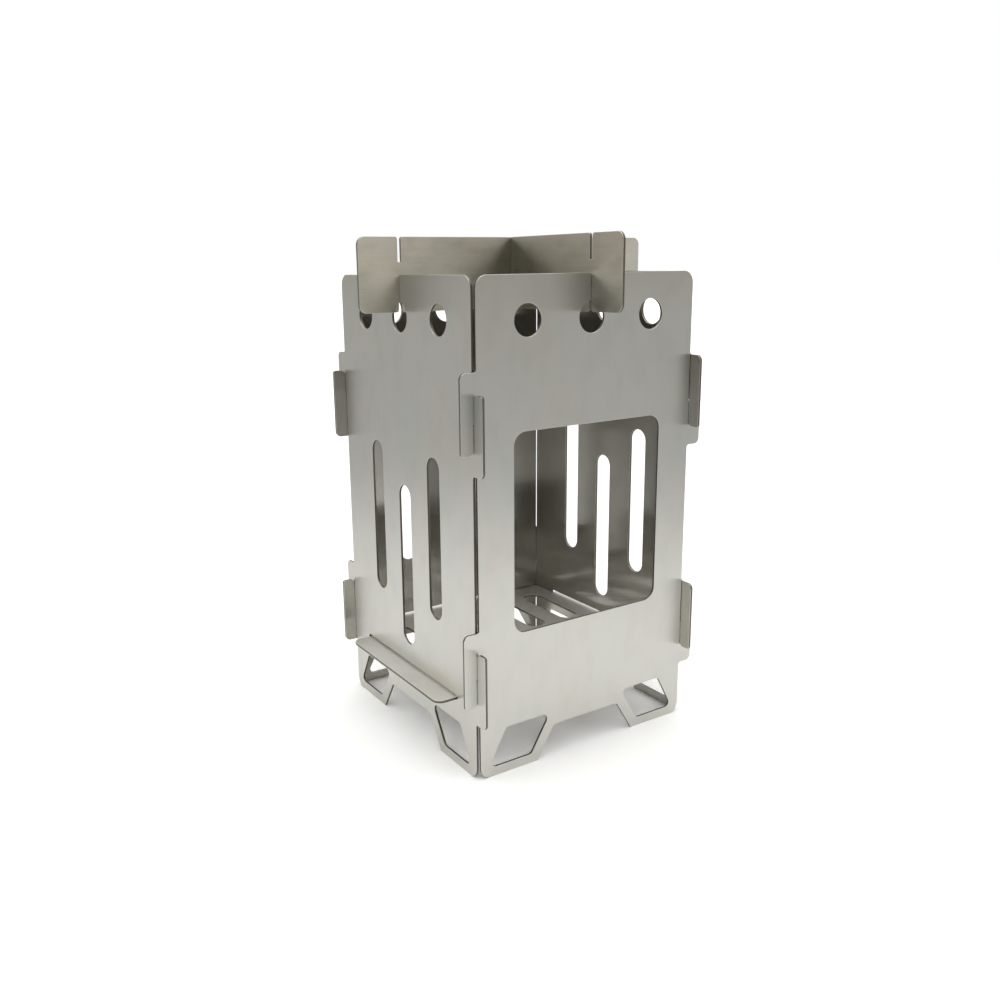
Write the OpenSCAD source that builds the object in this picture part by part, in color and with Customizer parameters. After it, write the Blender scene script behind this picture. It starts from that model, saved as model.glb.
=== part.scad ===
// Flat-pack backpacking wood stove cut from one gauge of stainless sheet.
// Four walls hook into each other at the corners, a slotted grate is held by
// its tabs, and two halved plates cross on top to carry the pot.
// Origin at the centre of the footprint, +Z up, the fuel window faces -Y.

/* [Body] */
// Side of the square body, outer face to outer face
body_w = 100; // [94:1:120]
// Height of the four walls
wall_h = 180; // [176:1:220]
// Thickness of the sheet that every piece is cut from
sheet_t = 1; // [0.6:0.1:1.4]
// Radius of the four corners of each wall
wall_corner_r = 4.5; // [3:0.5:7]

/* [Corner hooks] */
// Height at which the lower pair of hooks meet
lower_joint_z = 39.5; // [30:0.5:50]
// Height at which the upper pair of hooks meet
upper_joint_z = 131; // [115:1:145]
// Height of a hook beyond the end of its slot
hook_arm_h = 17.6; // [12:0.2:22]
// Depth of the slot in a hook
hook_slot_d = 10.2; // [6:0.2:11.6]
// How far a hook stands out past the neighbouring wall
hook_reach = 5.2; // [4:0.2:8]
// Radius of a hook's outer corner at its closed end
hook_corner_r = 2.2; // [1:0.1:3.5]
// Radius of a hook's outer corner at its tip
hook_tip_r = 1; // [0.5:0.1:1.5]
// Radius of a hook's inner corner at its slot mouth
hook_mouth_r = 1.8; // [0.5:0.1:2.2]
// Radius of the fillet where a hook leaves the wall
hook_root_r = 1; // [0.4:0.1:1.2]

/* [Vent holes] */
// Diameter of the vent holes below the top edge
vent_d = 11.3; // [8:0.1:13]
// Spacing of the three vent holes
vent_pitch = 27.8; // [20:0.2:30]
// Depth of the vent holes below the wall's top edge
vent_drop = 15.2; // [13:0.2:20]

/* [Fuel window] */
// Width of the fuel window in the front wall
window_w = 67.4; // [50:0.2:72]
// Height of the fuel window
window_h = 73.7; // [50:0.1:90]
// Height of the window's lower edge above the ground
window_z = 53.2; // [40:0.2:65]
// Radius of the window's corners
window_r = 5; // [2:0.5:10]

/* [Draught slots] */
// Width of the tall draught slots
draught_w = 9; // [6:0.5:12]
// Spacing of the three draught slots
draught_pitch = 21.9; // [16:0.1:26]
// Length of the two outer draught slots
draught_side_h = 62; // [40:1:80]
// Height of the outer slots' lower end above the ground
draught_side_z = 53.6; // [45:0.2:62]
// Length of the middle draught slot
draught_mid_h = 64.9; // [40:0.1:90]
// Height of the middle slot's lower end above the ground
draught_mid_z = 36.3; // [32:0.1:50]

/* [Feet] */
// Width of each foot where it stands
foot_w = 25.4; // [23:0.2:28]
// Height of the arch between the feet
arch_h = 12.8; // [8:0.2:18]
// How far each side of the arch leans in over its height
arch_lean = 7.9; // [4:0.1:10]
// Radius of the arch's upper corners
arch_r = 2; // [1:0.5:4]
// Metal left below the lightening hole
foot_rim = 3.6; // [3:0.1:6]
// Height of the lightening hole in a foot
foot_hole_h = 14.4; // [9:0.1:15]
// Metal left between the wall's edge and the lightening hole
foot_margin = 3.5; // [2.5:0.1:5]
// How far the lightening hole's outer side leans in over its height
foot_hole_lean = 7.8; // [4:0.1:9]
// Metal left between the lightening hole and the arch, measured level
foot_strip = 5; // [3:0.1:7]
// Radius of the lightening hole's corners
foot_hole_r = 2; // [0.5:0.1:3]

/* [Fire grate] */
// Height of the grate's underside above the ground
grate_z = 26.5; // [24:0.5:29]
// Width of each tab that carries the grate
tab_w = 71; // [50:1:74]
// How far a tab stands out past the wall
tab_reach = 8.3; // [4:0.1:12]
// Radius of a tab's corners
tab_r = 3.5; // [1:0.5:4]
// Width of the slots in the grate
grate_slot_w = 9; // [6:0.5:11]
// Length of the slots in the grate
grate_slot_l = 34.5; // [20:0.5:36]
// Spacing of the columns of slots
grate_slot_pitch = 18; // [14:0.5:18]
// Metal left between the two rows of slots
grate_rib = 7.5; // [4:0.5:12]

/* [Pot supports] */
// Height of each pot support plate
support_h = 27; // [24:0.5:36]
// How far a support stands out past the walls
support_reach = 16.2; // [8:0.2:24]
// Depth of the slots that straddle the walls
support_slot_d = 9; // [6:0.2:10]
// Depth of the notch in the wall's top edge
notch_d = 4.5; // [2:0.1:5.5]
// Radius of a support's four corners
support_corner_r = 3; // [1:0.5:5]
// Radius of the mouths of the notch and of the support's slots
support_mouth_r = 1; // [0.4:0.1:1.8]

/* [Clearances] */
// Gap on each side of a sheet in its slot
slot_clear = 0.15; // [0.1:0.05:0.3]
// Gap left at the bottom of a slot that doesn't carry
end_clear = 0.25; // [0.1:0.05:0.5]
// Gap between the grate's edge and the walls
grate_clear = 0.3; // [0.2:0.1:0.6]
// Gap at each end of a tab in its slot
tab_end_clear = 0.75; // [0.3:0.05:1.5]
// Gap above a tab in its slot
tab_top_clear = 1; // [0.3:0.1:1.5]

/* [Hidden] */
$fn = 64;
DRAUGHT_COUNT = 3;
VENT_COUNT = 3;
GRATE_COLUMNS = 5;
GRATE_ROWS = 2;
SHEET_COLOUR = "#b4b2ab";
SUPPORT_COLOUR = "#a39f92";
GRATE_COLOUR = "#9a9892";

// Overrun of every cut past the edge that it opens
cut_over = 2;

half_w = body_w / 2;
inner_half = half_w - sheet_t;
// A wall stops just short of its neighbour's inner face
wall_edge = inner_half - slot_clear;
// The slot of a hook runs from the wall's edge to just past the neighbour
hook_slot_edge = half_w + slot_clear;
hook_end = half_w + hook_reach;
sheet_slot_w = sheet_t + 2 * slot_clear;

notch_z = wall_h - notch_d;
support_z = notch_z - support_slot_d;
support_end = half_w + support_reach;
support_slot_x = half_w - sheet_t / 2;
cross_slot_d = support_h / 2 + end_clear;

grate_half = inner_half - grate_clear;
tab_end = half_w + tab_reach;
tab_slot_w = tab_w + 2 * tab_end_clear;
tab_slot_h = sheet_t + tab_top_clear;

// A vector's direction, and the angle at v between its two neighbours
function unit(v) = v / norm(v);
function corner_angle(p, v, n) = acos(unit(p - v) * unit(n - v));

// Where a corner's arc meets the two sides
function tangent_points(p, v, n, r) =
    let (reach = r / tan(corner_angle(p, v, n) / 2))
    [v + unit(p - v) * reach, v + unit(n - v) * reach];

// Centre of a corner's arc
function arc_centre(p, v, n, r) =
    v + unit(unit(p - v) + unit(n - v)) * r / sin(corner_angle(p, v, n) / 2);

// Convex polygon with an arc of its own radius at each corner
module rounded_polygon(points, radii) {
    count = len(points);
    polygon([
        for (i = [0:count - 1])
            each tangent_points(points[(i + count - 1) % count], points[i],
                                points[(i + 1) % count], radii[i])
    ]);
    for (i = [0:count - 1])
        if (radii[i] > 0)
            translate(arc_centre(points[(i + count - 1) % count], points[i],
                                 points[(i + 1) % count], radii[i]))
                circle(r = radii[i]);
}

// Rectangle between two corners, radii in the order
// lower left, lower right, upper right, upper left
module rounded_rect(low, high, radii) {
    rounded_polygon([low, [high[0], low[1]], high, [low[0], high[1]]], radii);
}

// Upright slot with round ends, its lower end at the origin
module upright_slot(width, length) {
    for (y = [width / 2, length - width / 2])
        translate([0, y])
            circle(d = width);
    translate([-width / 2, width / 2])
        square([width, length - width]);
}

// Cut for a sheet, going down from an edge at y = 0, with a rounded mouth
module sheet_cut(depth) {
    translate([-sheet_slot_w / 2, -depth])
        square([sheet_slot_w, depth + cut_over]);
    difference() {
        translate([-sheet_slot_w / 2 - support_mouth_r, -support_mouth_r])
            square([sheet_slot_w + 2 * support_mouth_r, support_mouth_r + cut_over]);
        for (side = [-1, 1])
            translate([side * (sheet_slot_w / 2 + support_mouth_r), -support_mouth_r])
                circle(r = support_mouth_r);
    }
}

// Hook on the left edge of a wall, with its slot open at the bottom.
// The origin is where the two hooks of a joint meet.
module hook() {
    rounded_rect([-hook_end, -hook_slot_d], [-hook_slot_edge, hook_arm_h],
                 [hook_tip_r, hook_mouth_r, 0, hook_corner_r]);
    translate([-hook_end + hook_corner_r, end_clear])
        square([hook_end - hook_corner_r - wall_edge + cut_over, hook_arm_h - end_clear]);
    // Fillet between the hook's closed end and the wall's edge
    translate([-wall_edge - hook_root_r, hook_arm_h])
        difference() {
            square([hook_root_r + cut_over, hook_root_r]);
            translate([0, hook_root_r])
                circle(r = hook_root_r);
        }
}

// Where the left side of the arch is at height z
function arch_side_x(z) = foot_w - wall_edge + arch_lean * z / arch_h;

// Lightening hole of the left foot, its inner side along the arch
module foot_hole() {
    top_z = foot_rim + foot_hole_h;
    outer_x = foot_margin - wall_edge;
    rounded_polygon([[outer_x, foot_rim], [arch_side_x(foot_rim) - foot_strip, foot_rim],
                     [arch_side_x(top_z) - foot_strip, top_z],
                     [outer_x + foot_hole_lean, top_z]],
                    [for (i = [1:4]) foot_hole_r]);
}

// Arch between the feet, its sides carried on below the ground line
module arch() {
    ground_x = arch_side_x(-cut_over);
    top_x = arch_side_x(arch_h);
    rounded_polygon([[ground_x, -cut_over], [-ground_x, -cut_over],
                     [-top_x, arch_h], [top_x, arch_h]],
                    [0, 0, arch_r, arch_r]);
}

// Outline that all four walls share, seen from outside
module wall_outline() {
    difference() {
        union() {
            rounded_rect([-wall_edge, 0], [wall_edge, wall_h],
                         [for (i = [1:4]) wall_corner_r]);
            for (joint_z = [lower_joint_z, upper_joint_z]) {
                translate([0, joint_z])
                    hook();
                translate([0, joint_z])
                    rotate(180)
                        hook();
            }
        }
        for (i = [0:VENT_COUNT - 1])
            translate([(i - (VENT_COUNT - 1) / 2) * vent_pitch, wall_h - vent_drop])
                circle(d = vent_d);
        arch();
        foot_hole();
        mirror([1, 0])
            foot_hole();
        translate([0, wall_h])
            sheet_cut(notch_d);
    }
}

// Tall slots that let air into the fire
module draught_slots() {
    for (i = [0:DRAUGHT_COUNT - 1]) {
        middle = i == (DRAUGHT_COUNT - 1) / 2;
        translate([(i - (DRAUGHT_COUNT - 1) / 2) * draught_pitch,
                   middle ? draught_mid_z : draught_side_z])
            upright_slot(draught_w, middle ? draught_mid_h : draught_side_h);
    }
}

// Long slot that a tab of the grate passes through
module tab_slot() {
    translate([-tab_slot_w / 2, grate_z + tab_slot_h / 2])
        rotate(-90)
            upright_slot(tab_slot_h, tab_slot_w);
}

// Stands an outline up as one wall, a quarter turn for each side
module stand_wall(turns) {
    rotate([0, 0, 90 * turns])
        translate([0, -inner_half, 0])
            rotate([90, 0, 0])
                linear_extrude(height = sheet_t)
                    children();
}

module slotted_wall(turns) {
    color(SHEET_COLOUR)
        stand_wall(turns)
            difference() {
                wall_outline();
                draught_slots();
                tab_slot();
            }
}

module front_wall() {
    color(SHEET_COLOUR)
        stand_wall(0)
            difference() {
                wall_outline();
                rounded_rect([-window_w / 2, window_z], [window_w / 2, window_z + window_h],
                             [for (i = [1:4]) window_r]);
            }
}

module right_wall() {
    slotted_wall(1);
}

module back_wall() {
    slotted_wall(2);
}

module left_wall() {
    slotted_wall(3);
}

// Slotted plate that carries the fire, held by its left, right and back tabs
module fire_grate() {
    color(GRATE_COLOUR)
        translate([0, 0, grate_z])
            linear_extrude(height = sheet_t)
                difference() {
                    union() {
                        translate([-grate_half, -grate_half])
                            square(2 * grate_half);
                        rounded_rect([-tab_end, -tab_w / 2], [tab_end, tab_w / 2],
                                     [for (i = [1:4]) tab_r]);
                        rounded_rect([-tab_w / 2, 0], [tab_w / 2, tab_end],
                                     [0, 0, tab_r, tab_r]);
                    }
                    for (column = [0:GRATE_COLUMNS - 1], row = [0:GRATE_ROWS - 1])
                        translate([(column - (GRATE_COLUMNS - 1) / 2) * grate_slot_pitch,
                                   (row - (GRATE_ROWS - 1) / 2) * (grate_slot_l + grate_rib)
                                   - grate_slot_l / 2])
                            upright_slot(grate_slot_w, grate_slot_l);
                }
}

// Outline of a pot support, its lower edge at y = 0.
// The slots in both long edges let it stand either way up.
module support_outline() {
    difference() {
        rounded_rect([-support_end, 0], [support_end, support_h],
                     [for (i = [1:4]) support_corner_r]);
        for (side = [-1, 1])
            translate([side * support_slot_x, support_h])
                sheet_cut(support_slot_d);
        for (side = [-1, 1])
            translate([side * support_slot_x, 0])
                rotate(180)
                    sheet_cut(support_slot_d);
    }
}

// Stands a support's outline up at its height, centred on its own plane
module stand_support() {
    translate([0, sheet_t / 2, support_z])
        rotate([90, 0, 0])
            linear_extrude(height = sheet_t)
                children();
}

// Runs front to back, halved from its top edge
module lower_pot_support() {
    color(SUPPORT_COLOUR)
        rotate([0, 0, 90])
            stand_support()
                difference() {
                    support_outline();
                    translate([0, support_h])
                        sheet_cut(cross_slot_d);
                }
}

// Runs left to right, halved from its lower edge
module upper_pot_support() {
    color(SUPPORT_COLOUR)
        stand_support()
            difference() {
                support_outline();
                rotate(180)
                    sheet_cut(cross_slot_d);
            }
}

front_wall();
right_wall();
back_wall();
left_wall();
fire_grate();
lower_pot_support();
upper_pot_support();
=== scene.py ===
import math

import bpy
import numpy as np
from bpy.props import (
    FloatProperty,
    FloatVectorProperty,
    IntProperty,
    PointerProperty,
)
from mathutils import Matrix, Vector


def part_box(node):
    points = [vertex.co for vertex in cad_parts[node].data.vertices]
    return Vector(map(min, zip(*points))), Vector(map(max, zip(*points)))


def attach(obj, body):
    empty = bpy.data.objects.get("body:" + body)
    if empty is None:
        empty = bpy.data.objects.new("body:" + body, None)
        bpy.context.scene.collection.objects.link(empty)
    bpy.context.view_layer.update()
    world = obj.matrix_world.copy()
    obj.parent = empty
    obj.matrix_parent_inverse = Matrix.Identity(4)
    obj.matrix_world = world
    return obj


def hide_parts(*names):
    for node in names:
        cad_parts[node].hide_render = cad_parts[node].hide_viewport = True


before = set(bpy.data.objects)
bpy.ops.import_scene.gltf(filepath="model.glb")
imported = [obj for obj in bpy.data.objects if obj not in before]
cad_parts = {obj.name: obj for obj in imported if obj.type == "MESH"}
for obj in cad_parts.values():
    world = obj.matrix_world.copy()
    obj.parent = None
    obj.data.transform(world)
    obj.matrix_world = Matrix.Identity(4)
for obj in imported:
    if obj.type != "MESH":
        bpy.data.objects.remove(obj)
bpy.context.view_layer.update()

bl_info = {
    "name": "Flat-Pack Wood Stove",
    "version": (1, 0, 0),
    "blender": (4, 5, 0),
    "location": "3D View > Sidebar > Wood Stove",
    "description": "Dresses the plates of a flat-pack wood stove and sets up a plain studio",
    "category": "Object",
}

MM = 0.001

# Names of the data that every plate carries for its materials: place and depth in it
PLATE_UV = "plate_mm"
DEPTH = "cut_depth"
# Number of a plate's third material, that of its cut edges
EDGE_MATERIAL = 2

# Decimals of a metre to which points are merged, and how close levels count as equal
MERGE_DECIMALS = 7
SAME_LEVEL = 1e-6
# Sharper folds than this stay creased
CREASE = math.radians(35)

# Axes along which a plate's grain runs
LEFT_TO_RIGHT, FRONT_TO_BACK, UPRIGHT = range(3)
# How far along the patterns each plate is cut from, in mm, so that no two look alike
WALL_SHIFTS = [(310.0 * i, 170.0 * i) for i in range(4)]
GRATE_SHIFT = (1490.0, 260.0)
LOWER_SHIFT = (1910.0, 0.0)
UPPER_SHIFT = (2140.0, 90.0)

# Patterns in the sheet: width across the grain and length along it in mm, and turn.
# Real grit lines are about 0.05 mm wide and laser ridges 0.1 mm apart: the streaks,
# scratches and ridges are drawn coarser so that they show.
STREAKS = (0.6, 30, 0.0)
CASTS = (38, 46, 0.0)
DRIFTS = (21, 30, 0.6)
SMUDGES = (7, 13, 0.2)
SCRATCHES = (0.3, 22, 0.35)
RIDGES = (0.3, 0.3, 0.0)
# Length of a wave, and width of a ripple, by its spacing
WAVE_STRETCH = 2.4
RIPPLE_STRETCH = 4

# Levels of the noise between which each pattern comes in
MOST_LEVELS = (0.3, 0.7)
PATCH_LEVELS = (0.4, 0.6)
DULL_LEVELS = (0.4, 0.75)
WARM_LEVELS = (0.45, 0.7)
SMUDGE_LEVELS = (0.47, 0.72)
COOL_LEVELS = (0.5, 0.75)
SCRATCH_LEVELS = (0.79, 0.83)

# What the patterns do to the sheet's tone, as shares
WARM_SHARE = 0.22
COOL_SHARE = 0.25
STREAK_DARKER = 0.01
STREAK_LIGHTER = 0.006
SMUDGE_DARKER = 0.035
# What they do to its roughness
STREAK_ROUGH = 0.006
SMUDGE_SMOOTHER = 0.005
SMUDGE_ROUGHER = 0.015
SCRATCH_SMOOTHER = 0.03
# And their heights
STREAK_HEIGHT = 0.0002 * MM
SCRATCH_DEPTH = 0.0004 * MM
RIDGE_HEIGHT = 0.02 * MM

# Where the dark line on each side of a cut edge (partly burred rim, partly painted shade)
# and the burnished corner begin and end, measured from its middle as shares of the sheet
BURR_AND_SHADE_SPAN = (0.16, 0.36)
BURNISH_SPAN = (0.37, 0.42)
BURR_AND_SHADE_SHARE = 0.9
BURNISH_SMOOTHER = 0.1
RIDGE_SHADES = (0.82, 1.08)
RIDGE_ROUGHS = (0.38, 0.55)

# Cosines of the angles from the middle of the dark side and of the backdrop, at which each
# begins and is full
DARK_SIDE = (0.76, 0.93)
BACKDROP_SIDE = (0.7, 0.95)
# Rise of the dark side's middle for each metre out
DARK_LIFT = 0.36
# How steeply a ray rises, as a sine, where the upper room and the overhead light come in
ROOM_SPAN = (0.12, 0.5)
OVERHEAD_SPAN = (0.75, 0.95)
# Metres out over which the mirrored table is painted dark towards the camera, and how bright
# that painted shade leaves it
DARK_TABLE = (0.8, 1.9)
DARK_GAIN = 0.03
# Faint mottles of the table top
MOTTLES_PER_METRE = 60.0
MOTTLE_SHARE = 0.02
MOTTLE_GREY = (0.8, 0.8, 0.8, 1.0)

# The camera's sensor in mm, and the nearest thing that it shows in metres
SENSOR_MM = 36
NEAREST = 0.01


def linear(hex_colour):
    """sRGB hex to linear red, green, blue and alpha."""
    shares = [int(hex_colour[i:i + 2], 16) / 255 for i in (1, 3, 5)]
    return [c / 12.92 if c <= 0.04045 else ((c + 0.055) / 1.055) ** 2.4 for c in shares] + [1.0]


def colour(name, hex_colour, description):
    """A colour property with its default given in sRGB hex."""
    return FloatVectorProperty(name=name, description=description, subtype="COLOR", size=4,
                               min=0, max=1, default=linear(hex_colour))


def length(name, metres, description, low=0.0):
    """A length property in metres."""
    return FloatProperty(name=name, description=description, default=metres, min=low,
                         precision=5, subtype="DISTANCE", unit="LENGTH")


class StovePlateSizes(bpy.types.PropertyGroup):
    """Sizes that turn the CAD plates into laser-cut sheets."""

    edge_round: length("Edge rounding", 0.12 * MM, "Radius of the tumbled cut edges")
    arc_steps: IntProperty(name="Rounding steps", default=4, min=1, max=12,
                           description="Faces across each rounded edge")
    wave_height: length("Waviness", 0.025 * MM, "Height of the slow waves in rolled sheet")
    wave_width: length("Wave width", 34 * MM, "Distance from one slow wave to the next")
    ripple_height: length("Ripple", 0.028 * MM, "Height of the short ripples in the sheet")
    ripple_width: length("Ripple width", 3.8 * MM, "Distance from one ripple to the next")


class StoveFinish(bpy.types.PropertyGroup):
    """Colours and roughness of the sheets and of their cut edges."""

    wall: colour("Wall sheet", "#dbdad4", "Satin stainless, outer faces of the walls")
    # Painted shade: the inner faces are the wall's stainless painted darker, so the inside of
    # the stove and its vents look shaded
    inner: colour("Inner faces", "#bbb9b2", "Satin stainless, inner faces of the walls")
    grate: colour("Grate sheet", "#e4e4e2", "Satin stainless of the fire grate")
    support: colour("Support sheet", "#e0dccf", "Satin stainless of the pot supports")
    warm: colour("Warm cast", "#dcd4c4", "Faint straw cast in the sheet")
    cool: colour("Cool cast", "#d2d8d8", "Faint cool cast in the sheet")
    # The cut edge's dull grey is its own, made deeper as painted shade in the gaps between
    # plates. The dark line on each side is partly the burred rim and partly painted shade.
    edge: colour("Cut edge", "#7f7a70", "Middle of a laser-cut edge")
    burr_and_shade: colour("Burr line", "#3b3833", "Dark line along each side of a cut edge")
    # The denoiser changes over at a roughness of about 0.27, and flecks show where a face
    # crosses it. The outer faces stay above it. The inner ones are far below it, and a
    # share of haze above a quarter keeps them free of flecks.
    satin: FloatProperty(name="Satin roughness", default=0.33, min=0, max=1, subtype="FACTOR",
                         description="How widely the brushed sheet spreads a reflection")
    grate_satin: FloatProperty(name="Grate roughness", default=0.55, min=0, max=1,
                               subtype="FACTOR", description="Roughness of the grate's sheet")
    stretch: FloatProperty(name="Brushing", default=0.9, min=0, max=1, subtype="FACTOR",
                           description="How much more it spreads across the grain than along")
    support_stretch: FloatProperty(name="Support brushing", default=1.0, min=0, max=1,
                                   subtype="FACTOR", description="The same for the supports")
    inner_satin: FloatProperty(name="Inner roughness", default=0.16, min=0, max=1,
                               subtype="FACTOR", description="Roughness inside the walls")
    haze: FloatProperty(name="Haze", default=0.32, min=0, max=1, subtype="FACTOR",
                        description="Share of broad haze over the sheen inside the walls")
    haze_satin: FloatProperty(name="Haze roughness", default=0.4, min=0, max=1,
                              subtype="FACTOR", description="Roughness of that haze")


class StoveStudio(bpy.types.PropertyGroup):
    """The table, the room, the lamp and the camera."""

    table: colour("Table", "#f3f3f2", "Pale matt table top")
    room: colour("Room", "#aeaaa2", "Plain room, at eye level")
    upper_room: colour("Upper room", "#fffdf8", "Plain room, higher up")
    overhead: FloatProperty(name="Overhead", default=2.6, min=0,
                            description="Brightness of the room overhead, in the metal")
    shade: colour("Shade", "#1c1b18", "Dark side of the room, behind the camera")
    white: colour("Backdrop", "#ffffff", "White backdrop")
    table_gain: FloatProperty(name="Table brightness", default=1.3, min=0,
                              description="Brightness of the table as the camera sees it")
    # Near and far brightness scale the table's colour in the metal: painted light, brighter near
    # the stove and painted shade far out
    near_gain: FloatProperty(name="Near brightness", default=1.07, min=0,
                             description="Brightness of the near table in the metal")
    far_gain: FloatProperty(name="Far brightness", default=0.53, min=0,
                            description="Brightness of the far table in the metal")
    table_near: length("Near table", 0.05, "Distance at which the mirrored table starts to fade")
    table_far: length("Far table", 0.6, "Distance at which it has faded")
    floor_size: length("Floor size", 40.0, "Side of the square floor")
    lamp_power: FloatProperty(name="Lamp", default=2.83, min=0, description="Overhead lamp")
    lamp_spread: FloatProperty(name="Lamp spread", default=math.radians(130), min=0,
                               subtype="ANGLE", description="Angle that the lamp fills")
    sky: FloatProperty(name="Sky", default=0.2, min=0,
                       description="Even light on the table from all sides")
    camera_place: FloatVectorProperty(
        name="Camera", default=(-0.21537, -0.30881, 0.18289), subtype="XYZ", unit="LENGTH",
        description="Where the camera stands")
    azimuth: FloatProperty(name="Azimuth", default=math.radians(-32.382), subtype="ANGLE",
                           description="Turn of the view round the stove")
    elevation: FloatProperty(name="Elevation", default=math.radians(13.072), subtype="ANGLE",
                             description="How far the camera looks down")
    roll: FloatProperty(name="Roll", default=math.radians(-0.811), subtype="ANGLE",
                        description="Tilt of the picture")
    focal: FloatProperty(name="Focal length", default=33.69, min=1, unit="CAMERA",
                         description="Lens for a sensor 36 mm wide")
    shift_x: FloatProperty(name="Shift X", default=0.02853, description="Sideways lens shift")
    shift_y: FloatProperty(name="Shift Y", default=-0.01709, description="Upright lens shift")


def node_arrays(node):
    """Points (n, 3) and triangles (m, 3) of a CAD node.

    Doubled points are merged, and triangles that shrink to a line by it are dropped.
    """
    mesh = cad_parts[node].data
    points = np.empty(len(mesh.vertices) * 3)
    mesh.vertices.foreach_get("co", points)
    mesh.calc_loop_triangles()
    corners = np.empty(len(mesh.loop_triangles) * 3, np.int64)
    mesh.loop_triangles.foreach_get("vertices", corners)
    merged, which = np.unique(np.round(points.reshape(-1, 3), MERGE_DECIMALS), axis=0,
                              return_inverse=True)
    triangles = which.reshape(-1)[corners].reshape(-1, 3)
    whole = np.all(triangles != np.roll(triangles, 1, axis=1), axis=1)
    return merged, triangles[whole]


def flat_face(points, triangles, across, level):
    """The triangles that lie at this level across the plate, and the outline round them.

    An outline edge is one that only one of these triangles uses, taken in the direction in
    which that triangle runs, so the metal is always on its left.
    """
    off_level = np.abs(points[triangles][:, :, across] - level)
    face = triangles[np.all(off_level < SAME_LEVEL, axis=1)]
    start = face.reshape(-1)
    end = np.roll(face, -1, axis=1).reshape(-1)
    count = len(points)
    lone = ~np.isin(start * count + end, end * count + start)
    return face, start[lone], end[lone]


def rounded_rim(radius, thickness, steps):
    """Inset and depth of each ring of the rim, from the front face to the back face.

    A quarter circle at each face, inset = r (1 - sin t) and depth = r (1 - cos t) as t runs
    from 0 to a right angle, and a straight stretch between them.
    """
    turn = np.linspace(0, math.pi / 2, steps + 1)
    inset = radius * (1 - np.sin(turn))
    depth = radius * (1 - np.cos(turn))
    middle = [thickness / 2]
    return (np.concatenate([inset, [0.0], inset[::-1]]),
            np.concatenate([depth, middle, thickness - depth[::-1]]))


def cut_sheet(node, grain_axis):
    """Arrays of a laser-cut sheet with rounded edges, from the outline of a CAD plate.

    The first flat face is the one away from the stove's middle, the second the other.

    The rim is a profile carried along the outline. Each outline point moves inwards along
    the mitre of its two edges, (a + b) / (1 + a.b) for their inward normals a and b, by the
    profile's inset, and across the sheet by its depth. The flat faces keep the CAD plate's
    triangles, with their outline points on the first and the last ring.
    """
    sizes = bpy.context.scene.stove_plates
    low, high = (np.array(corner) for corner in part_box(node))
    across = int(np.argmin(high - low))
    first, second = (across + 1) % 3, (across + 2) % 3
    points, triangles = node_arrays(node)
    face, start, end = flat_face(points, triangles, across, high[across])
    flat = points[:, (first, second)]

    after = np.full(len(points), -1)
    before = np.full(len(points), -1)
    after[start], before[end] = end, start
    rim = np.unique(start)
    ahead = flat[after[rim]] - flat[rim]
    behind = flat[rim] - flat[before[rim]]
    ahead /= np.linalg.norm(ahead, axis=1, keepdims=True)
    behind /= np.linalg.norm(behind, axis=1, keepdims=True)
    a = np.stack([-behind[:, 1], behind[:, 0]], axis=1)
    b = np.stack([-ahead[:, 1], ahead[:, 0]], axis=1)
    mitre = (a + b) / (1 + np.sum(a * b, axis=1, keepdims=True))

    inset, depth = rounded_rim(sizes.edge_round, high[across] - low[across], sizes.arc_steps)
    rings, per_ring = len(inset), len(rim)
    place = np.empty((rings, per_ring, 3))
    place[:, :, (first, second)] = flat[rim] + inset[:, None, None] * mitre
    place[:, :, across] = high[across] - depth[:, None]

    index = np.full(len(points), -1)
    index[rim] = np.arange(per_ring)
    front, back = index[face], index[face[:, ::-1]] + (rings - 1) * per_ring
    ring = np.arange(rings - 1)[:, None] * per_ring
    here, there = index[start], index[end]
    quads = np.stack([ring + here, ring + per_ring + here,
                      ring + per_ring + there, ring + there], axis=-1).reshape(-1, 4)

    place = place.reshape(-1, 3)
    uv_axes = (second, first) if first == grain_axis else (first, second)
    return {
        "points": place,
        "caps": [front, back] if high[across] > -low[across] else [back, front],
        "rim": quads,
        "uv": place[:, uv_axes] / MM,
        "depth": (high[across] - place[:, across]) / (high[across] - low[across]),
    }


def dress_plate(node, piece_name, body, grain_axis, materials, pattern_shift):
    """Makes the sheet that stands for a CAD plate, with its grain, materials and body.

    The materials are those of the outer face, the inner face and the cut edges.
    """
    arrays = cut_sheet(node, grain_axis)
    outer, inner = arrays["caps"]
    rim = arrays["rim"]
    mesh = bpy.data.meshes.new(piece_name)
    mesh.from_pydata(arrays["points"].tolist(), [],
                     outer.tolist() + inner.tolist() + rim.tolist())
    kind = np.repeat(np.arange(3, dtype=np.int32), [len(outer), len(inner), len(rim)])
    mesh.polygons.foreach_set("material_index", kind)
    # Sharp edges first, because finding them makes every face smooth
    mesh.set_sharp_from_angle(angle=CREASE)
    mesh.polygons.foreach_set("use_smooth", kind == EDGE_MATERIAL)
    loops = np.empty(len(mesh.loops), np.int32)
    mesh.loops.foreach_get("vertex_index", loops)
    layer = mesh.uv_layers.new(name=PLATE_UV)
    layer.uv.foreach_set("vector", (arrays["uv"][loops] + pattern_shift).reshape(-1))
    mesh.attributes.new(DEPTH, "FLOAT", "POINT").data.foreach_set("value", arrays["depth"])
    for material in materials:
        mesh.materials.append(material)
    mesh.validate()
    piece = bpy.data.objects.new(piece_name, mesh)
    bpy.context.scene.collection.objects.link(piece)
    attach(piece, body)
    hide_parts(node)
    return piece


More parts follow.
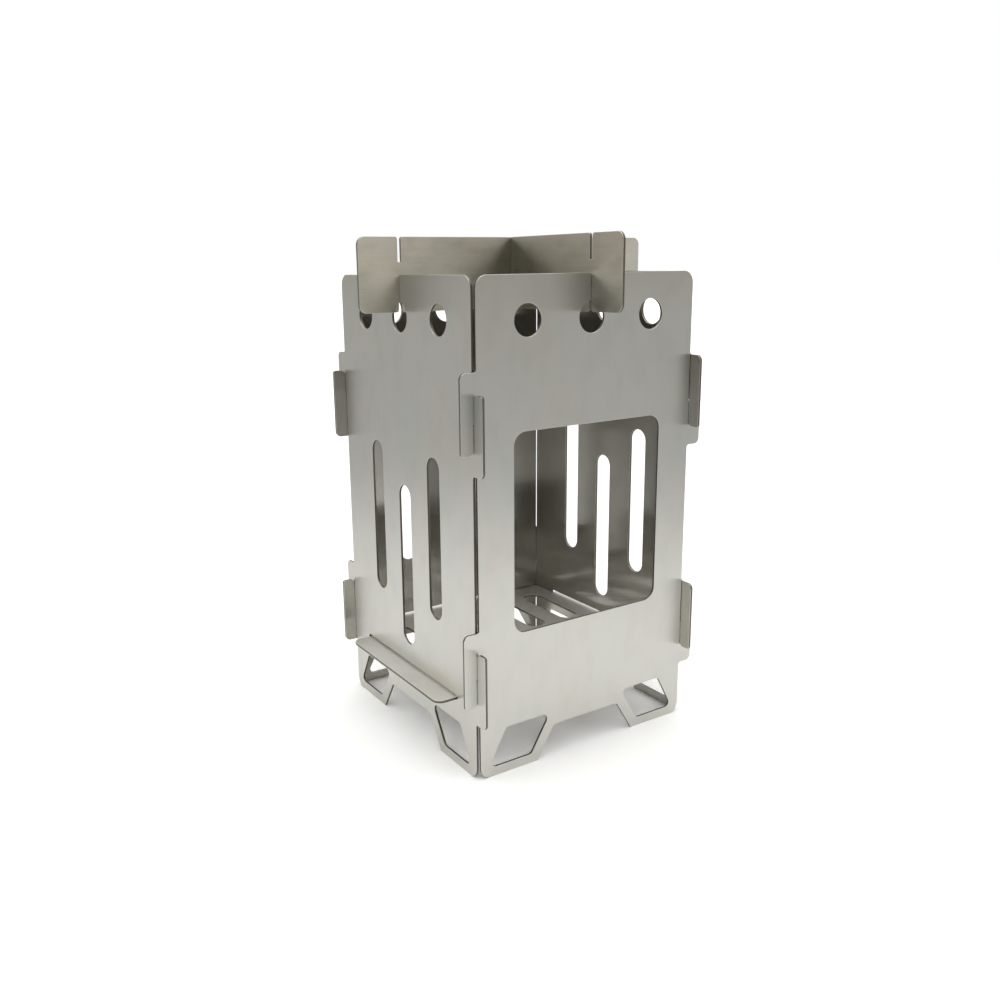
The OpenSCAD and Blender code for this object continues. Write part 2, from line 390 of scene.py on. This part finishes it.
def add(tree, kind, inputs=None, **settings):
    """Adds a node with its settings. An input is linked if it is given a socket."""
    made = tree.nodes.new(kind)
    for key, value in settings.items():
        setattr(made, key, value)
    for key, value in (inputs or {}).items():
        if isinstance(value, bpy.types.NodeSocket):
            tree.links.new(value, made.inputs[key])
        else:
            made.inputs[key].default_value = value
    return made


def new_material(name):
    """A material with an empty node tree."""
    material = bpy.data.materials.new(name)
    material.use_nodes = True
    material.node_tree.nodes.clear()
    return material, material.node_tree


def plate_noise(tree, width_mm, length_mm, turn=0.0, detail=2.0):
    """Noise in the sheet's own millimetres, stretched along its grain."""
    place = add(tree, "ShaderNodeUVMap", uv_map=PLATE_UV)
    scaled_place = add(tree, "ShaderNodeMapping", {
        "Vector": place.outputs["UV"],
        "Rotation": (0, 0, turn),
        "Scale": (1 / width_mm, 1 / length_mm, 1),
    })
    return add(tree, "ShaderNodeTexNoise", {
        "Vector": scaled_place.outputs["Vector"],
        "Scale": 1.0,
        "Detail": detail,
    }, noise_dimensions="2D").outputs["Fac"]


def spread(tree, value, span, new_span=(0.0, 1.0), ends="LINEAR"):
    """Maps a value from one range to another, clamped."""
    return add(tree, "ShaderNodeMapRange", {
        "Value": value,
        "From Min": span[0],
        "From Max": span[1],
        "To Min": new_span[0],
        "To Max": new_span[1],
    }, interpolation_type=ends).outputs["Result"]


def smooth(tree, value, span, new_span=(0.0, 1.0)):
    """Maps a value from one range to another, with soft ends."""
    return spread(tree, value, span, new_span, "SMOOTHSTEP")


def dot(tree, vector, way):
    """Cosine of the angle between a unit vector and a fixed way."""
    return add(tree, "ShaderNodeVectorMath", {0: vector, 1: tuple(way)},
               operation="DOT_PRODUCT").outputs["Value"]


def combine(tree, operation, a, b):
    """One step of arithmetic on two values."""
    return add(tree, "ShaderNodeMath", {0: a, 1: b}, operation=operation).outputs["Value"]


def between(tree, share, a, b):
    """Mixes two values by a share from 0 to 1."""
    return add(tree, "ShaderNodeMix", {0: share, 2: a, 3: b}, data_type="FLOAT").outputs[0]


def blend(tree, share, a, b, blend_type="MIX"):
    """Mixes two colours by a share from 0 to 1."""
    return add(tree, "ShaderNodeMix", {0: share, 6: a, 7: b}, data_type="RGBA",
               blend_type=blend_type).outputs[2]


def scaled(tree, colour_socket, factor):
    """A colour times a value."""
    return add(tree, "ShaderNodeVectorMath", {0: colour_socket, "Scale": factor},
               operation="SCALE").outputs["Vector"]


def bare_metal(tree, tone, rough, height, **brushing):
    """A bare metal shader with a bump of this height in metres."""
    bump = add(tree, "ShaderNodeBump", {"Height": height, "Strength": 1.0, "Distance": 1.0})
    return add(tree, "ShaderNodeBsdfPrincipled", {
        "Base Color": tone,
        "Metallic": 1.0,
        "Roughness": rough,
        "Normal": bump.outputs["Normal"],
        **brushing,
    }).outputs["BSDF"]


def satin_stainless(name, base, satin, stretch, wear, rippled, haze=0.0):
    """Cold-rolled stainless sheet, brushed to a satin along its grain.

    The brushing spreads reflections across the grain and leaves them crisp along it, with
    faint streaks. Rolling gives slow waves, heat gives patches of short ripples, and
    handling gives faint smudges and scratches. Where the brushing is light, a share of
    broad haze lies over a crisper sheen.
    """
    finish = bpy.context.scene.stove_finish
    sizes = bpy.context.scene.stove_plates
    wave_mm, ripple_mm = sizes.wave_width / MM, sizes.ripple_width / MM
    material, tree = new_material(name)

    streaks = plate_noise(tree, *STREAKS, detail=3)
    casts = plate_noise(tree, *CASTS)
    drifts = plate_noise(tree, *DRIFTS)
    smudges = plate_noise(tree, *SMUDGES, detail=4)
    scratches = spread(tree, plate_noise(tree, *SCRATCHES, detail=0), SCRATCH_LEVELS)
    waves = plate_noise(tree, wave_mm, WAVE_STRETCH * wave_mm, detail=1)
    ripples = plate_noise(tree, RIPPLE_STRETCH * ripple_mm, ripple_mm, detail=0)
    patches = smooth(tree, drifts, PATCH_LEVELS)

    warm = blend(tree, spread(tree, casts, WARM_LEVELS, (0, WARM_SHARE)), base,
                 tuple(finish.warm))
    cast = blend(tree, spread(tree, drifts, COOL_LEVELS, (0, COOL_SHARE)), warm,
                 tuple(finish.cool))
    streak_shade = spread(tree, streaks, MOST_LEVELS,
                          (1 - STREAK_DARKER * wear, 1 + STREAK_LIGHTER * wear))
    smudge_shade = spread(tree, smudges, SMUDGE_LEVELS, (1.0, 1 - SMUDGE_DARKER * wear))
    shade = combine(tree, "MULTIPLY", streak_shade, smudge_shade)
    tone = blend(tree, 1.0, cast, shade, "MULTIPLY")

    rough = combine(tree, "ADD",
                    spread(tree, smudges, DULL_LEVELS,
                           (satin - SMUDGE_SMOOTHER, satin + SMUDGE_ROUGHER)),
                    spread(tree, streaks, MOST_LEVELS,
                           (-STREAK_ROUGH * wear, STREAK_ROUGH * wear)))
    rough = combine(tree, "SUBTRACT", rough,
                    combine(tree, "MULTIPLY", scratches, SCRATCH_SMOOTHER))

    heights = (
        (waves, sizes.wave_height),
        (combine(tree, "MULTIPLY", ripples, patches), sizes.ripple_height * rippled),
        (streaks, STREAK_HEIGHT * wear),
        (scratches, -SCRATCH_DEPTH),
    )
    height = 0.0
    for pattern, size in heights:
        height = add(tree, "ShaderNodeMath", {0: pattern, 1: size, 2: height},
                     operation="MULTIPLY_ADD").outputs["Value"]
    tangent = add(tree, "ShaderNodeTangent", direction_type="UV_MAP", uv_map=PLATE_UV)
    sheen, broad = (
        bare_metal(tree, tone, roughness, height, Anisotropic=stretch,
                   Tangent=tangent.outputs["Tangent"])
        for roughness in (rough, finish.haze_satin)
    )
    metal = add(tree, "ShaderNodeMixShader", {0: haze, 1: sheen, 2: broad})
    add(tree, "ShaderNodeOutputMaterial", {"Surface": metal.outputs["Shader"]})
    return material


def laser_cut_edge(name):
    """The edge of laser-cut stainless: dull, darker at both sides, with fine ridges across.

    Its rounded corners are burnished bright by handling. The ridges come from noise in the
    sheet's plane, so they run straight through it.
    """
    finish = bpy.context.scene.stove_finish
    material, tree = new_material(name)
    depth = add(tree, "ShaderNodeAttribute", attribute_name=DEPTH).outputs["Fac"]
    from_middle = combine(tree, "ABSOLUTE", combine(tree, "SUBTRACT", depth, 0.5), 0.0)
    # Darker at both sides: partly the burred rim, partly painted shade
    burr_and_shade = spread(tree, from_middle, BURR_AND_SHADE_SPAN, (0, BURR_AND_SHADE_SHARE))
    burnish = spread(tree, from_middle, BURNISH_SPAN)
    ridges = plate_noise(tree, *RIDGES)
    # The edge's own grey, deepened as painted shade in the gaps, and the painted dark line on
    # each side
    tone = blend(tree, burr_and_shade, tuple(finish.edge), tuple(finish.burr_and_shade))
    tone = blend(tree, 1.0, tone, spread(tree, ridges, MOST_LEVELS, RIDGE_SHADES), "MULTIPLY")
    tone = blend(tree, burnish, tone, tuple(finish.wall))
    rough = combine(tree, "SUBTRACT", spread(tree, ridges, MOST_LEVELS, RIDGE_ROUGHS),
                    combine(tree, "MULTIPLY", burnish, BURNISH_SMOOTHER))
    metal = bare_metal(tree, tone, rough, combine(tree, "MULTIPLY", ridges, RIDGE_HEIGHT))
    add(tree, "ShaderNodeOutputMaterial", {"Surface": metal})
    return material


def shared(title, make, **values):
    """The material of that title, made if it isn't there yet."""
    return bpy.data.materials.get(title) or make(title, **values)


def cut_edge():
    """The material that the cut edges of all the plates share."""
    return shared("Laser-Cut Stainless Edge", laser_cut_edge)


class STOVE_OT_walls(bpy.types.Operator):
    """Makes the four hooked walls, grain upright"""

    bl_idname = "stove.walls"
    bl_label = "Walls"

    def execute(self, context):
        finish = context.scene.stove_finish
        outside = shared("Satin Stainless Wall", satin_stainless, base=tuple(finish.wall),
                         satin=finish.satin, stretch=finish.stretch, wear=0.8, rippled=0.1)
        # The inside is a copy of the wall sheet with the darker inner colour, painted shade
        # inside the stove
        inside = shared("Satin Stainless Wall Inside Painted Shade", satin_stainless,
                        base=tuple(finish.inner), satin=finish.inner_satin,
                        stretch=finish.stretch, wear=0.8, rippled=1.0, haze=finish.haze)
        for side, shift in zip(("front", "right", "back", "left"), WALL_SHIFTS):
            dress_plate(f"{side}_wall", f"{side}_wall_sheet", "stove_body",
                        UPRIGHT, (outside, inside, cut_edge()), shift)
        return {"FINISHED"}


class STOVE_OT_grate(bpy.types.Operator):
    """Makes the slotted grate with its tabs"""

    bl_idname = "stove.grate"
    bl_label = "Fire Grate"

    def execute(self, context):
        finish = context.scene.stove_finish
        sheet = shared("Satin Stainless Grate", satin_stainless, base=tuple(finish.grate),
                       satin=finish.grate_satin, stretch=0.5, wear=1.5, rippled=0.1)
        dress_plate("fire_grate", "fire_grate_sheet", "stove_body",
                    FRONT_TO_BACK, (sheet, sheet, cut_edge()), GRATE_SHIFT)
        return {"FINISHED"}


class STOVE_OT_pot_supports(bpy.types.Operator):
    """Makes the two crossed pot supports, grain level"""

    bl_idname = "stove.pot_supports"
    bl_label = "Pot Supports"

    def execute(self, context):
        finish = context.scene.stove_finish
        sheet = shared("Satin Stainless Support", satin_stainless,
                       base=tuple(finish.support), satin=finish.satin,
                       stretch=finish.support_stretch, wear=3.5, rippled=0.1)
        for place, grain_axis, shift in (("lower", FRONT_TO_BACK, LOWER_SHIFT),
                                         ("upper", LEFT_TO_RIGHT, UPPER_SHIFT)):
            dress_plate(f"{place}_pot_support", f"{place}_pot_support_sheet",
                        f"{place}_support", grain_axis,
                        (sheet, sheet, cut_edge()), shift)
        return {"FINISHED"}


def seen_straight(tree, path):
    """1 for rays straight from the camera and for those passed on through something clear."""
    return combine(tree, "MAXIMUM", path.outputs["Is Camera Ray"],
                   path.outputs["Is Transmission Ray"])


def table_material(studio):
    """Pale matt table top that keeps the stove's shadow.

    The camera and the metal near the table see it as bright as in the photograph. Further
    out the metal sees it fade into the room, and into the dark side towards the camera. For
    the metal this is painted light: its colour is raised near the stove, a painted pool of
    light, and lowered further out and towards the camera, painted shade.
    """
    material, tree = new_material("Matt Table Top")
    place = add(tree, "ShaderNodeTexCoord").outputs["Object"]
    distance = add(tree, "ShaderNodeVectorMath", {0: place}, operation="LENGTH")
    distance = distance.outputs["Value"]
    way = add(tree, "ShaderNodeVectorMath", {0: place}, operation="NORMALIZE")
    to_camera = (math.sin(studio.azimuth), -math.cos(studio.azimuth), 0)
    towards = smooth(tree, dot(tree, way.outputs["Vector"], to_camera), DARK_SIDE)
    dark = combine(tree, "MULTIPLY", smooth(tree, distance, DARK_TABLE), towards)
    fade = smooth(tree, distance, (studio.table_near, studio.table_far),
                  (studio.near_gain, studio.far_gain))
    fade = between(tree, dark, fade, DARK_GAIN)
    mottle = add(tree, "ShaderNodeTexNoise", {
        "Vector": place,
        "Scale": MOTTLES_PER_METRE,
        "Detail": 3.0,
    })
    tint = blend(tree, spread(tree, mottle.outputs["Fac"], MOST_LEVELS, (0, MOTTLE_SHARE)),
                 tuple(studio.table), MOTTLE_GREY)
    path = add(tree, "ShaderNodeLightPath")
    # For rays from the metal the table's colour is scaled by distance and way: a painted pool of
    # light near the stove, painted shade far out and towards the camera
    gain = between(tree, path.outputs["Is Glossy Ray"], 1.0, fade)
    gain = between(tree, seen_straight(tree, path), gain, studio.table_gain)
    matt = add(tree, "ShaderNodeBsdfDiffuse", {"Color": scaled(tree, tint, gain)})
    add(tree, "ShaderNodeOutputMaterial", {"Surface": matt.outputs["BSDF"]})
    return material


def make_floor(studio):
    """A square floor at the feet's level."""
    half = studio.floor_size / 2
    mesh = bpy.data.meshes.new("table_top")
    mesh.from_pydata([(-half, -half, 0), (half, -half, 0), (half, half, 0), (-half, half, 0)],
                     [], [(0, 1, 2, 3)])
    mesh.materials.append(table_material(studio))
    floor = bpy.data.objects.new("table_top", mesh)
    bpy.context.scene.collection.objects.link(floor)


def make_world(studio):
    """A plain room, dark behind the camera, with a white backdrop behind the stove.

    The camera sees the backdrop all round. The metal sees it behind the stove, the dark
    side opposite, and between them the plain room, which is lighter higher up and lightest
    overhead. The table gets an even light from all of it.
    """
    world = bpy.data.worlds.new("Studio Room")
    bpy.context.scene.world = world
    world.use_nodes = True
    tree = world.node_tree
    tree.nodes.clear()
    direction = add(tree, "ShaderNodeTexCoord").outputs["Generated"]
    level = Vector((-math.sin(studio.azimuth), math.cos(studio.azimuth), 0))
    to_backdrop = dot(tree, direction, level)
    to_dark_side = dot(tree, direction, (Vector((0, 0, DARK_LIFT)) - level).normalized())
    up = add(tree, "ShaderNodeSeparateXYZ", {0: direction}).outputs["Z"]
    room = blend(tree, smooth(tree, up, ROOM_SPAN), tuple(studio.room),
                 tuple(studio.upper_room))
    room = scaled(tree, room, smooth(tree, up, OVERHEAD_SPAN, (1.0, studio.overhead)))
    room = blend(tree, smooth(tree, to_dark_side, DARK_SIDE), room, tuple(studio.shade))
    room = blend(tree, smooth(tree, to_backdrop, BACKDROP_SIDE), room, tuple(studio.white))
    path = add(tree, "ShaderNodeLightPath")
    diffuse = path.outputs["Is Diffuse Ray"]
    shown = blend(tree, seen_straight(tree, path), room, tuple(studio.white))
    shown = blend(tree, diffuse, shown, tuple(studio.white))
    background = add(tree, "ShaderNodeBackground", {
        "Color": shown,
        "Strength": between(tree, diffuse, 1.0, studio.sky),
    })
    add(tree, "ShaderNodeOutputWorld", {"Surface": background.outputs["Background"]})


def make_lamp(studio):
    """One very broad overhead lamp, which gives the table its soft shadow.

    The metal mirrors the room and not the lamp, which would fill the stove with light.
    """
    lamp = bpy.data.lights.new("overhead_lamp", "SUN")
    lamp.energy = studio.lamp_power
    lamp.angle = studio.lamp_spread
    holder = bpy.data.objects.new("overhead_lamp", lamp)
    holder.visible_glossy = False
    bpy.context.scene.collection.objects.link(holder)


def make_camera(studio):
    """The camera of the photograph, turned by azimuth, elevation and roll."""
    data = bpy.data.cameras.new("photo_camera")
    data.sensor_width = SENSOR_MM
    data.lens = studio.focal
    data.shift_x = studio.shift_x
    data.shift_y = studio.shift_y
    data.clip_start = NEAREST
    camera = bpy.data.objects.new("photo_camera", data)
    bpy.context.scene.collection.objects.link(camera)
    level = math.cos(studio.elevation)
    back = Vector((math.sin(studio.azimuth) * level, -math.cos(studio.azimuth) * level,
                   math.sin(studio.elevation)))
    right = Vector((math.cos(studio.azimuth), math.sin(studio.azimuth), 0))
    up = back.cross(right)
    turned_right = right * math.cos(studio.roll) + up * math.sin(studio.roll)
    turned_up = up * math.cos(studio.roll) - right * math.sin(studio.roll)
    turn = Matrix((turned_right, turned_up, back)).transposed().to_4x4()
    camera.matrix_world = Matrix.Translation(Vector(studio.camera_place)) @ turn
    bpy.context.scene.camera = camera


class STOVE_OT_stage(bpy.types.Operator):
    """Makes the table, the room, the lamp and the camera"""

    bl_idname = "stove.stage"
    bl_label = "Stage"

    def execute(self, context):
        studio = context.scene.stove_studio
        make_floor(studio)
        make_world(studio)
        make_lamp(studio)
        make_camera(studio)
        context.scene.view_settings.view_transform = "Standard"
        return {"FINISHED"}


class STOVE_PT_panel(bpy.types.Panel):
    """The stove's operators and sizes"""

    bl_idname = "STOVE_PT_panel"
    bl_label = "Wood Stove"
    bl_space_type = "VIEW_3D"
    bl_region_type = "UI"
    bl_category = "Wood Stove"

    def draw(self, context):
        layout = self.layout
        for operator in OPERATORS:
            layout.operator(operator.bl_idname)
        for group in ("stove_plates", "stove_finish", "stove_studio"):
            settings = getattr(context.scene, group)
            box = layout.box()
            for key in settings.__annotations__:
                box.prop(settings, key)


OPERATORS = (STOVE_OT_stage, STOVE_OT_walls, STOVE_OT_grate, STOVE_OT_pot_supports)
CLASSES = (StovePlateSizes, StoveFinish, StoveStudio, *OPERATORS, STOVE_PT_panel)


def register():
    for made in CLASSES:
        bpy.utils.register_class(made)
    bpy.types.Scene.stove_plates = PointerProperty(type=StovePlateSizes)
    bpy.types.Scene.stove_finish = PointerProperty(type=StoveFinish)
    bpy.types.Scene.stove_studio = PointerProperty(type=StoveStudio)


def unregister():
    del bpy.types.Scene.stove_studio
    del bpy.types.Scene.stove_finish
    del bpy.types.Scene.stove_plates
    for made in reversed(CLASSES):
        bpy.utils.unregister_class(made)


def main():
    register()
    bpy.ops.stove.stage()
    bpy.ops.stove.walls()
    bpy.ops.stove.grate()
    bpy.ops.stove.pot_supports()


if __name__ == "__main__":
    main()
